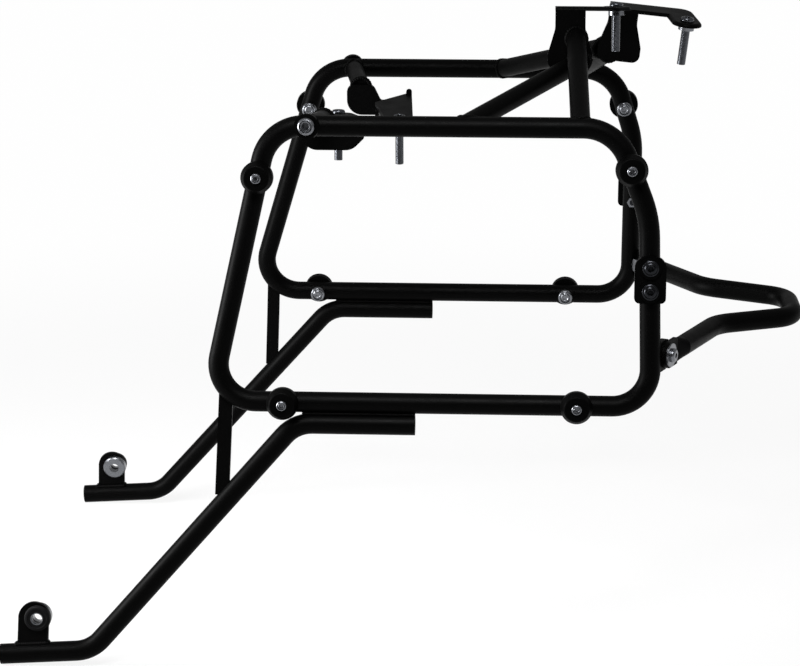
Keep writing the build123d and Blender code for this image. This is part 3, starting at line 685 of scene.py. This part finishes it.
class PANNIER_OT_socket_screws(bpy.types.Operator):
    """Screws with ringed socket heads and the caps they pull on, in place of the plain ones"""
    bl_idname = "pannier.socket_screws"
    bl_label = "Socket screws"

    def screw(self, name, size, grip, head, radius, socket):
        """One screw along Z: a plain shank below the origin and a head above it."""
        # A radius a hair under half the nominal size, so that the shank clears its hole
        shank, rise = 0.49 * size, 0.5 * size
        start = ((shank * 0.2, -grip), (shank, -grip), (shank, 0.0))
        return headed(name, start, head, radius, rise, socket)

    def replace(self, pieces, node, finish="zinc_steel"):
        """Join standing pieces into one that takes a node's place."""
        piece = joined(pieces)
        piece.name = f"{node}_ringed"
        settle(piece, "zinc_steel", smooth=28.0, finish=finish)
        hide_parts(node)

    def execute(self, context):
        frame_sizes = context.scene.pannier_frame
        sizes = context.scene.pannier_screws
        small, large = sizes.small_size, sizes.large_size
        puck_grip, latch_grip, stub_grip = 0.035, 0.032, 0.0405
        # From the centre of the rail to the seat of each head
        puck_seat, latch_seat, stub_seat, cap_seat = 0.022, 0.016, 0.0125, 0.010
        # Radius of a ringed head, as a share of its screw's nominal size
        ringed = 0.85
        puck_screw = self.screw("puck_screw", small, puck_grip, SCREW_HEAD, ringed * small,
                                RINGED_SOCKET)
        latch_screw = self.screw("latch_screw", small, latch_grip, FLANGED_HEAD,
                                 sizes.latch_flange, FLANGED_SOCKET)
        stub_bolt = self.screw("stub_bolt", large, stub_grip, SCREW_HEAD, ringed * large,
                               RINGED_SOCKET)
        puck_cap = headed("puck_cap", (), CAP_HEAD, sizes.cap_radius, sizes.cap_rise, CAP_SOCKET)
        for side in SIDES:
            outward, inward = side_way(side, 0.0, 0.0, -1.0), side_way(side, 0.0, 0.0, 1.0)
            screws, caps = [], []
            for along, up in side.pucks:
                seat = side_point(side, along, up, -puck_seat)
                screws.append(standing_copy(puck_screw, "screw", seat, outward))
                seat = side_point(side, along, up, cap_seat)
                caps.append(standing_copy(puck_cap, "cap", seat, inward))
            self.replace(screws, f"{side.name}_puck_screws")
            self.replace(caps, f"{side.name}_puck_nuts")
            pair = [standing_copy(latch_screw, "screw",
                                  side_point(side, side.latch, up, -latch_seat), outward)
                    for up in LATCH_SCREWS_UP]
            self.replace(pair, f"{side.name}_latch_screws", "dulled_zinc")
            base, plate = bar_ends(side, side.stub, frame_sizes.front_plate_in)
            way = (base - plate).normalized()
            single = standing_copy(stub_bolt, "screw", base + way * stub_seat, way)
            self.replace([single], f"{side.name}_stub_bolt")
        for piece in (puck_screw, latch_screw, stub_bolt, puck_cap):
            bpy.data.objects.remove(piece)
        return {"FINISHED"}


class PANNIER_OT_foot_bushes(bpy.types.Operator):
    """Moulded bush with a steel sleeve in it on each foot tab"""
    bl_idname = "pannier.foot_bushes"
    bl_label = "Foot bushes"

    def execute(self, context):
        sizes = context.scene.pannier_feet
        outer, inner, bore = sizes.bush_radius, sizes.sleeve_radius, sizes.bore_radius
        length = sizes.bush_length
        # How deep both are sunk in the tab
        sunk = -0.0002
        # From the middle of the recorded bore to the tab's outer face
        seat = 0.00025
        bush = turn("left_foot_bush_moulded", (
            (inner, sunk), (outer - 0.0006, sunk), (outer, 0.0005),
            (outer, length - 0.0014), (outer - 0.0005, length - 0.0005), (outer - 0.0014, length),
            (inner + 0.0034, length), (inner + 0.0030, length - 0.0006),
            (inner + 0.0012, length - 0.0006), (inner, length - 0.0004), (inner, sunk)))
        sleeve = turn("left_foot_sleeve", (
            (bore, sunk), (inner, sunk), (inner, length - 0.0003),
            (inner - 0.0002, length), (bore + 0.0002, length), (bore, length - 0.0003),
            (bore, sunk)))
        for side in ("left", "right"):
            place, axis = mount(f"{side}_foot_bore")
            for piece, node_slot in ((bush, "black_rubber"), (sleeve, "zinc_steel")):
                made = standing_copy(piece, piece.name.replace("left", side),
                                     place + axis * seat, axis)
                settle(made, node_slot)
                if piece is bush:
                    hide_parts(f"{side}_foot_bush")
        bpy.data.objects.remove(bush)
        bpy.data.objects.remove(sleeve)
        return {"FINISHED"}


class PANNIER_OT_foot_tabs(bpy.types.Operator):
    """Foot tabs with a wider round top, in place of the plain ones"""
    bl_idname = "pannier.foot_tabs"
    bl_label = "Foot tabs"

    def plate(self, name, side, width, thick):
        """Upright plate that leans to the rear from its foot to its top."""
        # How far its top stands behind its foot
        lean = 0.0018
        deselect()
        bpy.ops.mesh.primitive_plane_add(size=1.0)
        piece = bpy.context.object
        piece.name = name
        open_mesh(piece)
        bpy.ops.transform.resize(value=(width, thick, 1.0), center_override=(0.0, 0.0, 0.0))
        bpy.ops.mesh.extrude_region_move(
            TRANSFORM_OT_translate={"value": (lean, 0.0, TAB_HIGH - TAB_LOW)})
        face_outwards()
        along, up = side_way(side, 1.0, 0.0, 0.0), side_way(side, 0.0, 1.0, 0.0)
        turned = Matrix((along, up.cross(along), up)).transposed().to_4x4()
        foot = side_point(side, TAB_MIDDLE, TAB_LOW, 0.0)
        piece.matrix_world = Matrix.Translation(foot) @ turned
        return piece

    def round_bar(self, place, axis, radius, length):
        """Round bar about a place and along an axis, to join to a tab or cut from it."""
        deselect()
        bpy.ops.mesh.primitive_cylinder_add(vertices=96, radius=radius, depth=length)
        bar = bpy.context.object
        stand(bar, place, axis)
        return bar

    def execute(self, context):
        sizes = context.scene.pannier_feet
        thick = sizes.tab_thick
        # A hair thinner than the round top, so that the two faces do not lie in one plane
        plate_thick = thick - 0.00001
        # A little smaller than the foot, so that the tab sinks into it
        tube = context.scene.pannier_frame.tube_radius - 0.0003
        tube_length = 0.080
        for side in SIDES:
            tab = self.plate(f"{side.name}_foot_tab_round", side, sizes.tab_width, plate_thick)
            outward = side_way(side, 0.0, 0.0, -1.0)
            top = self.round_bar(side_point(side, *TAB_ROUND_AT, 0.0), outward,
                                 sizes.tab_round, thick)
            change(tab, top, "UNION")
            bore = self.round_bar(side_point(side, *FOOT_BORE_AT, 0.0), outward,
                                  sizes.bore_radius, 2 * thick)
            change(tab, bore, "DIFFERENCE")
            foot = self.round_bar(side_point(side, TAB_MIDDLE, foot_up(TAB_MIDDLE), 0.0),
                                  foot_way(side), tube, tube_length)
            change(tab, foot, "DIFFERENCE")
            settle(tab, "black_coat")
            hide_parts(f"{side.name}_foot_tab")
        return {"FINISHED"}


class PANNIER_OT_tube_plugs(bpy.types.Operator):
    """Moulded plugs in the open ends of the lower arms"""
    bl_idname = "pannier.tube_plugs"
    bl_label = "Tube plugs"

    def execute(self, context):
        sizes = context.scene.pannier_frame
        radius = sizes.tube_radius - sizes.tube_wall
        plug = turn("plug", (
            (radius * 0.2, -0.0062), (radius * 0.86, -0.0062), (radius, -0.0056),
            (radius, -0.0007), (radius * 0.95, -0.0003), (radius * 0.72, -0.0004),
            (radius * 0.64, -0.0010), (radius * 0.56, -0.0012), (0.0002, -0.0012)))
        close_rims(plug)
        for side in SIDES:
            for end, spot, way in (("front", FOOT_TIP, -foot_way(side)),
                                   ("rear", ARM_REAR_END, side_way(side, 1.0, 0.0, 0.0))):
                made = standing_copy(plug, f"{side.name}_{end}_plug",
                                     side_point(side, *spot, 0.0), way)
                settle(made, "black_plastic")
        bpy.data.objects.remove(plug)
        return {"FINISHED"}


class PANNIER_OT_weld_beads(bpy.types.Operator):
    """Rippled weld beads round the joints of the tubes and plates"""
    bl_idname = "pannier.weld_beads"
    bl_label = "Weld beads"

    def ripple(self):
        """One ripple of a bead: a ball flattened along its run and in its height."""
        deselect()
        bpy.ops.mesh.primitive_uv_sphere_add(segments=8, ring_count=6, radius=1.0)
        piece = bpy.context.object
        open_mesh(piece)
        bpy.ops.transform.resize(value=(0.85, 1.0, 0.8), center_override=(0.0, 0.0, 0.0))
        bpy.ops.object.mode_set(mode="OBJECT")
        return piece

    def lay(self, name, ripple, points, size):
        """Lay ripples along a run of points and join them into one bead."""
        # Ripples lie closer than their own half width, so that they run into each other
        spacing = size * 0.6
        made = []
        for here, after in zip(points, points[1:]):
            way = after - here
            turned = way.to_track_quat("X", "Z").to_matrix().to_4x4()
            count = max(1, round(way.length / spacing))
            for step in range(count):
                coin = own_copy(ripple, name)
                coin.matrix_world = (Matrix.Translation(here.lerp(after, step / count)) @ turned
                                     @ Matrix.Scale(size, 4))
                made.append(coin)
        settle(joined(made), "black_coat", smooth=60.0)

    def ring(self, base, axis, radius, reach):
        """Closed run round a round bar, as far along its axis as reach says for each point."""
        axis = axis.normalized()
        first = axis.orthogonal().normalized()
        second = axis.cross(first)
        sides = 24
        points = []
        for step in range(sides + 1):
            turned = step * 2 * pi / sides
            edge = base + (first * cos(turned) + second * sin(turned)) * radius
            points.append(edge + axis * reach(edge, axis))
        return points

    def onto_rail(self, base, rail_radius):
        """How far a point goes along an axis until it stands on the rail through the base."""
        def reach(edge, axis):
            off, way = (edge - base).yz, axis.yz
            half = off.dot(way)
            gap = off.dot(off) - rail_radius ** 2
            return (-half + (half * half - way.dot(way) * gap) ** 0.5) / way.dot(way)
        return reach

    def onto_plate(self, side, inboard):
        """How far a point goes along an axis until it stands on a plate that far inboard."""
        corner, inward = side_point(side, 0.0, 0.0, inboard), side_way(side, 0.0, 0.0, 1.0)

        def reach(edge, axis):
            return (corner - edge).dot(inward) / axis.dot(inward)
        return reach

    def execute(self, context):
        sizes = context.scene.pannier_frame
        feet = context.scene.pannier_feet
        welds = context.scene.pannier_welds
        ripple = self.ripple()
        # A tab's bead is sunk a little in the top of the foot's tube
        foot_top = sizes.tube_radius - 0.0005
        wide, deep = feet.tab_width / 2, feet.tab_thick / 2
        round_tab = ((-wide, -deep), (wide, -deep), (wide, deep), (-wide, deep), (-wide, -deep))
        for side in SIDES:
            for label, bar, inboard, radius in (
                ("upright", side.upright, sizes.rear_plate_in, sizes.strut_radius),
                ("diagonal", side.diagonal, sizes.rear_plate_in, sizes.strut_radius),
                ("stub", side.stub, sizes.front_plate_in, sizes.stub_radius),
            ):
                low, high = bar_ends(side, bar, inboard)
                on_rail = self.onto_rail(low, sizes.tube_radius)
                self.lay(f"{side.name}_{label}_base_weld", ripple,
                         self.ring(low, high - low, radius, on_rail), welds.rail_bead)
                on_plate = self.onto_plate(side, inboard)
                self.lay(f"{side.name}_{label}_top_weld", ripple,
                         self.ring(low, high - low, radius, on_plate), welds.plate_bead)
            run = []
            for back, inboard in round_tab:
                along = TAB_MIDDLE + back
                run.append(side_point(side, along, foot_up(along) + foot_top, inboard))
            self.lay(f"{side.name}_tab_weld", ripple, run, welds.plate_bead)
            for tag, inboard in (("outer", -ARM_SEAM_OUT), ("inner", ARM_SEAM_OUT)):
                run = [side_point(side, along, ARM_SEAM_UP, inboard) for along in ARM_SEAM]
                self.lay(f"{side.name}_arm_{tag}_weld", ripple, run, welds.arm_bead)
        bpy.data.objects.remove(ripple)
        return {"FINISHED"}


class PANNIER_OT_stage(bpy.types.Operator):
    """Pale floor, soft lamps and the camera"""
    bl_idname = "pannier.stage"
    bl_label = "Stage"

    def floor(self, context):
        """White floor that reads as white to the camera and keeps the object's shadow."""
        deselect()
        bpy.ops.mesh.primitive_plane_add(size=40.0, location=(0.0, 6.0, 0.0))
        floor = context.object
        floor.name = "floor"
        bpy.ops.object.transform_apply(location=True, rotation=True, scale=True)
        made, tree, out = new_material("white studio floor")
        path = add_node(tree, "ShaderNodeLightPath")
        seen = add_node(tree, "ShaderNodeMath", None,
                        {0: path.outputs["Is Camera Ray"], 1: path.outputs["Is Glossy Ray"]},
                        operation="ADD")
        shown = add_node(tree, "ShaderNodeMath", None,
                         {0: seen.outputs[0], 1: path.outputs["Is Transmission Ray"]},
                         operation="ADD", use_clamp=True)
        paint = add_node(tree, "ShaderNodeBsdfDiffuse",
                         {"Color": linear(context.scene.pannier_colours.floor)})
        glow = add_node(tree, "ShaderNodeEmission", {"Color": (1.0, 1.0, 1.0, 1.0)},
                        {"Strength": shown.outputs[0]})
        # Plain white takes over from the paint away from the object, between 0.6 m and 1.8 m
        place = add_node(tree, "ShaderNodeTexCoord")
        far = add_node(tree, "ShaderNodeVectorMath", None, {0: place.outputs["Object"]},
                       operation="LENGTH")
        share = add_node(tree, "ShaderNodeMapRange",
                         {"From Min": 0.6, "From Max": 1.8, "To Min": 0.88, "To Max": 0.99},
                         {"Value": far.outputs["Value"]}, interpolation_type="SMOOTHSTEP")
        both = add_node(tree, "ShaderNodeMixShader", None,
                        {0: share.outputs["Result"], 1: paint.outputs["BSDF"],
                         2: glow.outputs["Emission"]})
        tree.links.new(both.outputs["Shader"], out.inputs["Surface"])
        floor.data.materials.append(made)

    def flag(self, context):
        """Black cloth behind the camera, which keeps the front of the tubes dark."""
        width, height = 7.0, 2.4
        deselect()
        bpy.ops.mesh.primitive_plane_add(size=1.0, location=(0.0, 0.0, 0.0))
        flag = context.object
        flag.name = "black_flag"
        open_mesh(flag)
        bpy.ops.transform.resize(value=(width, height, 1.0), center_override=(0.0, 0.0, 0.0))
        bpy.ops.object.mode_set(mode="OBJECT")
        flag.rotation_euler = (radians(-90.0), 0.0, 0.0)
        flag.location = (0.0, -3.4, height / 2)
        only(flag)
        bpy.ops.object.transform_apply(location=True, rotation=True, scale=True)
        made, tree, out = new_material("black studio cloth")
        felt = add_node(tree, "ShaderNodeBsdfDiffuse",
                        {"Color": linear(context.scene.pannier_colours.flag)})
        tree.links.new(felt.outputs["BSDF"], out.inputs["Surface"])
        flag.data.materials.append(made)
        flag.visible_camera = False

    def light(self, context):
        """White surroundings and two softboxes, one above the front and one on the left."""
        world = bpy.data.worlds.new("studio")
        context.scene.world = world
        world.use_nodes = True
        surroundings = world.node_tree.nodes["Background"]
        surroundings.inputs["Color"].default_value = (1.0, 1.0, 1.0, 1.0)
        surroundings.inputs["Strength"].default_value = 0.4
        for box in (
            Lamp("top_softbox", place=(-0.2, -1.07, 1.62), aim=(-0.15, -0.25, 0.36),
                 width=1.2, height=0.4, spread=44.0, power=3.2),
            Lamp("left_softbox", place=(-1.15, -0.30, 0.5), aim=(-0.18, -0.24, 0.42),
                 width=0.25, height=0.7, spread=180.0, power=22.0),
        ):
            bpy.ops.object.light_add(type="AREA", location=box.place)
            lamp = context.object
            lamp.name = box.name
            lamp.data.shape = "RECTANGLE"
            lamp.data.size = box.width
            lamp.data.size_y = box.height
            lamp.data.energy = box.power
            lamp.data.spread = radians(box.spread)
            way = Vector(box.aim) - Vector(box.place)
            lamp.rotation_euler = way.to_track_quat("-Z", "Y").to_euler()
            lamp.visible_camera = False

    def execute(self, context):
        self.floor(context)
        self.flag(context)
        self.light(context)
        sizes = context.scene.pannier_studio
        bpy.ops.object.camera_add(location=sizes.camera_place, rotation=sizes.camera_turn)
        camera = context.object
        camera.data.lens = sizes.camera_lens
        camera.data.sensor_width = sizes.sensor_width
        camera.data.sensor_fit = "HORIZONTAL"
        camera.data.clip_end = 60.0
        context.scene.camera = camera
        context.scene.view_settings.view_transform = "Standard"
        return {"FINISHED"}


GROUPS = {
    "pannier_studio": StudioSizes,
    "pannier_frame": FrameSizes,
    "pannier_feet": FootSizes,
    "pannier_bolts": BoltSizes,
    "pannier_screws": ScrewSizes,
    "pannier_welds": WeldSizes,
    "pannier_colours": FinishColours,
}
OPERATORS = (
    PANNIER_OT_finishes,
    PANNIER_OT_hanging_bolts,
    PANNIER_OT_socket_screws,
    PANNIER_OT_foot_bushes,
    PANNIER_OT_foot_tabs,
    PANNIER_OT_tube_plugs,
    PANNIER_OT_weld_beads,
    PANNIER_OT_stage,
)


class PANNIER_PT_sidebar(bpy.types.Panel):
    """Sizes and colours of the pannier frame, and the steps that dress it"""
    bl_label = "Pannier frame"
    bl_idname = "PANNIER_PT_sidebar"
    bl_space_type = "VIEW_3D"
    bl_region_type = "UI"
    bl_category = "Pannier frame"

    def draw(self, context):
        for attribute, kind in GROUPS.items():
            for name in kind.__annotations__:
                self.layout.prop(getattr(context.scene, attribute), name)
        for kind in OPERATORS:
            self.layout.operator(kind.bl_idname)


CLASSES = tuple(GROUPS.values()) + OPERATORS + (PANNIER_PT_sidebar,)


def register():
    for kind in CLASSES:
        bpy.utils.register_class(kind)
    for attribute, kind in GROUPS.items():
        setattr(bpy.types.Scene, attribute, bpy.props.PointerProperty(type=kind))


def unregister():
    for attribute in reversed(GROUPS):
        delattr(bpy.types.Scene, attribute)
    for kind in reversed(CLASSES):
        bpy.utils.unregister_class(kind)


def main():
    register()
    bpy.ops.pannier.finishes()
    bpy.ops.pannier.hanging_bolts()
    bpy.ops.pannier.socket_screws()
    bpy.ops.pannier.foot_bushes()
    bpy.ops.pannier.foot_tabs()
    bpy.ops.pannier.tube_plugs()
    bpy.ops.pannier.weld_beads()
    bpy.ops.pannier.stage()


if __name__ == "__main__":
    main()
